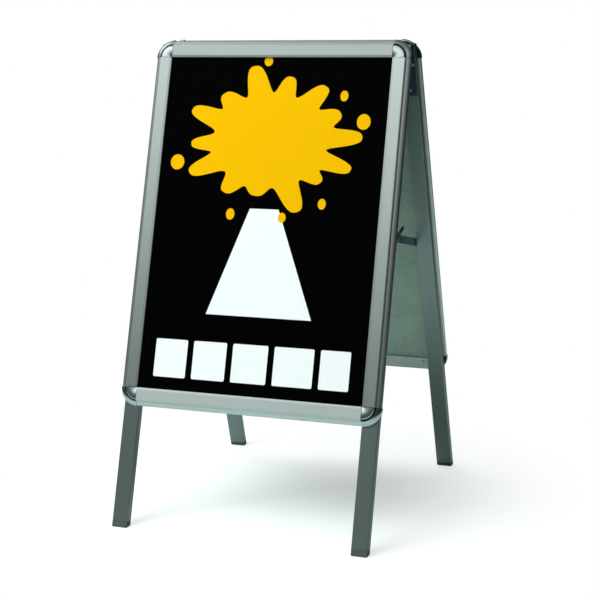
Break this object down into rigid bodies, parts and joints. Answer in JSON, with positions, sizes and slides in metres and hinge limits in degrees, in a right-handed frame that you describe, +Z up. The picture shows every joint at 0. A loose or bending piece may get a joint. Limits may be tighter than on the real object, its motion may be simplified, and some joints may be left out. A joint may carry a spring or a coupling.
{
  "type": "sandwich board",
  "caption": "Folding A-frame pavement sign with a snap-open poster frame on each side, splayed legs and locking side stays.",
  "frame": {"origin": "on the ground, at the middle of the open board's footprint", "axes": "+Z up; the front poster faces -Y; +X is to the right of someone reading the front poster; the leaves fold about the X axis"},
  "size_m": [0.666, 0.745, 1.1542],
  "materials": {
    "anodised_rail": "satin silver anodised extrusion, fine lines along its length",
    "anodised_cover": "satin silver anodised extrusion, fine lines along its length",
    "spring_steel": "plain spring steel",
    "galvanised_sheet": "grey-green coated steel sheet, semi-matt",
    "poster": "printed sheet, dark with a plain pattern",
    "clear_sheet": "clear anti-glare plastic",
    "black_moulding": "moulded black plastic",
    "chrome_corner": "chrome-plated moulding",
    "zinc_steel": "zinc-plated steel",
    "aluminium_rivet": "bright aluminium blind rivet",
    "leg_tube": "satin anodised tube",
    "foot_moulding": "moulded dark grey plastic",
    "hinge_steel": "dark blue-black finish",
    "stay_steel": "dark zinc-passivated flat bar",
    "grip_vinyl": "dipped black vinyl"
  },
  "bodies": {
    "front_leaf": {"front_base_rail_top": "anodised_rail", "front_base_rail_bottom": "anodised_rail", "front_base_rail_left": "anodised_rail", "front_base_rail_right": "anodised_rail", "front_back_sheet": "galvanised_sheet", "front_poster": "poster", "front_clear_sheet": "clear_sheet", "front_corner_keys": "black_moulding", "front_corner_rings": "chrome_corner", "front_corner_caps": "chrome_corner", "front_key_screws": "zinc_steel", "front_cover_springs": "spring_steel", "front_leg_left": "leg_tube", "front_leg_right": "leg_tube", "front_leg_rivets": "aluminium_rivet", "front_leg_tops": "black_moulding", "front_feet": "foot_moulding", "front_hinge_leaves": "hinge_steel", "front_hinge_rivets": "aluminium_rivet", "front_stay_studs": "zinc_steel", "hinge_pins": "zinc_steel"},
    "front_snap_top": {"front_cover_top": "anodised_cover"},
    "front_snap_bottom": {"front_cover_bottom": "anodised_cover"},
    "front_snap_left": {"front_cover_left": "anodised_cover"},
    "front_snap_right": {"front_cover_right": "anodised_cover"},
    "rear_leaf": {"rear_base_rail_top": "anodised_rail", "rear_base_rail_bottom": "anodised_rail", "rear_base_rail_left": "anodised_rail", "rear_base_rail_right": "anodised_rail", "rear_back_sheet": "galvanised_sheet", "rear_poster": "poster", "rear_clear_sheet": "clear_sheet", "rear_corner_keys": "black_moulding", "rear_corner_rings": "chrome_corner", "rear_corner_caps": "chrome_corner", "rear_key_screws": "zinc_steel", "rear_cover_springs": "spring_steel", "rear_leg_left": "leg_tube", "rear_leg_right": "leg_tube", "rear_leg_rivets": "aluminium_rivet", "rear_leg_tops": "black_moulding", "rear_feet": "foot_moulding", "rear_hinge_leaves": "hinge_steel", "rear_hinge_rivets": "aluminium_rivet", "rear_stay_studs": "zinc_steel"},
    "rear_snap_top": {"rear_cover_top": "anodised_cover"},
    "rear_snap_bottom": {"rear_cover_bottom": "anodised_cover"},
    "rear_snap_left": {"rear_cover_left": "anodised_cover"},
    "rear_snap_right": {"rear_cover_right": "anodised_cover"},
    "stay_front_left": {"stay_front_arm_left": "stay_steel", "stay_grip_left": "grip_vinyl", "stay_tail_left": "zinc_steel"},
    "stay_front_right": {"stay_front_arm_right": "stay_steel", "stay_grip_right": "grip_vinyl", "stay_tail_right": "zinc_steel"},
    "stay_rear_left": {"stay_rear_arm_left": "stay_steel", "stay_rivet_left": "zinc_steel"},
    "stay_rear_right": {"stay_rear_arm_right": "stay_steel", "stay_rivet_right": "zinc_steel"}
  },
  "joints": [
    {"name": "fold", "type": "hinge", "parent": "front_leaf", "child": "rear_leaf", "pos_m": [0, 0, 1.1295], "axis": [-1, 0, 0], "range_deg": [0, 34]},
    {"name": "stay_front_left", "type": "hinge", "parent": "front_leaf", "child": "stay_front_left", "pos_m": [-0.2774, -0.17874, 0.5996], "axis": [1, 0, 0], "range_deg": [0, 47.13]},
    {"name": "stay_rear_left", "type": "hinge", "parent": "rear_leaf", "child": "stay_rear_left", "pos_m": [-0.2807, 0.16646, 0.63977], "axis": [-1, 0, 0], "range_deg": [0, 55.91]},
    {"name": "stay_front_right", "type": "hinge", "parent": "front_leaf", "child": "stay_front_right", "pos_m": [0.2774, -0.17874, 0.5996], "axis": [1, 0, 0], "range_deg": [0, 47.13]},
    {"name": "stay_rear_right", "type": "hinge", "parent": "rear_leaf", "child": "stay_rear_right", "pos_m": [0.2807, 0.16646, 0.63977], "axis": [-1, 0, 0], "range_deg": [0, 55.91]},
    {"name": "front_snap_bottom", "type": "hinge", "parent": "front_leaf", "child": "front_snap_bottom", "pos_m": [0, -0.29635, 0.30042], "axis": [1, 0, 0], "range_deg": [0, 95]},
    {"name": "front_snap_right", "type": "hinge", "parent": "front_leaf", "child": "front_snap_right", "pos_m": [0.3155, -0.168, 0.72023], "axis": [0, 0.2924, 0.9563], "range_deg": [0, 95]},
    {"name": "front_snap_top", "type": "hinge", "parent": "front_leaf", "child": "front_snap_top", "pos_m": [0, -0.03965, 1.14005], "axis": [-1, 0, 0], "range_deg": [0, 95]},
    {"name": "front_snap_left", "type": "hinge", "parent": "front_leaf", "child": "front_snap_left", "pos_m": [-0.3155, -0.168, 0.72023], "axis": [0, -0.2924, -0.9563], "range_deg": [0, 95]},
    {"name": "rear_snap_bottom", "type": "hinge", "parent": "rear_leaf", "child": "rear_snap_bottom", "pos_m": [0, 0.29635, 0.30042], "axis": [-1, 0, 0], "range_deg": [0, 95]},
    {"name": "rear_snap_left", "type": "hinge", "parent": "rear_leaf", "child": "rear_snap_left", "pos_m": [-0.3155, 0.168, 0.72023], "axis": [0, -0.2924, 0.9563], "range_deg": [0, 95]},
    {"name": "rear_snap_top", "type": "hinge", "parent": "rear_leaf", "child": "rear_snap_top", "pos_m": [0, 0.03965, 1.14005], "axis": [1, 0, 0], "range_deg": [0, 95]},
    {"name": "rear_snap_right", "type": "hinge", "parent": "rear_leaf", "child": "rear_snap_right", "pos_m": [0.3155, 0.168, 0.72023], "axis": [0, 0.2924, -0.9563], "range_deg": [0, 95]}
  ],
  "couplings": [
    {"joint": "stay_front_left", "follows": "fold", "ratio": 1.3863},
    {"joint": "stay_rear_left", "follows": "fold", "ratio": 1.6444},
    {"joint": "stay_front_right", "follows": "fold", "ratio": 1.3863},
    {"joint": "stay_rear_right", "follows": "fold", "ratio": 1.6444}
  ]
}
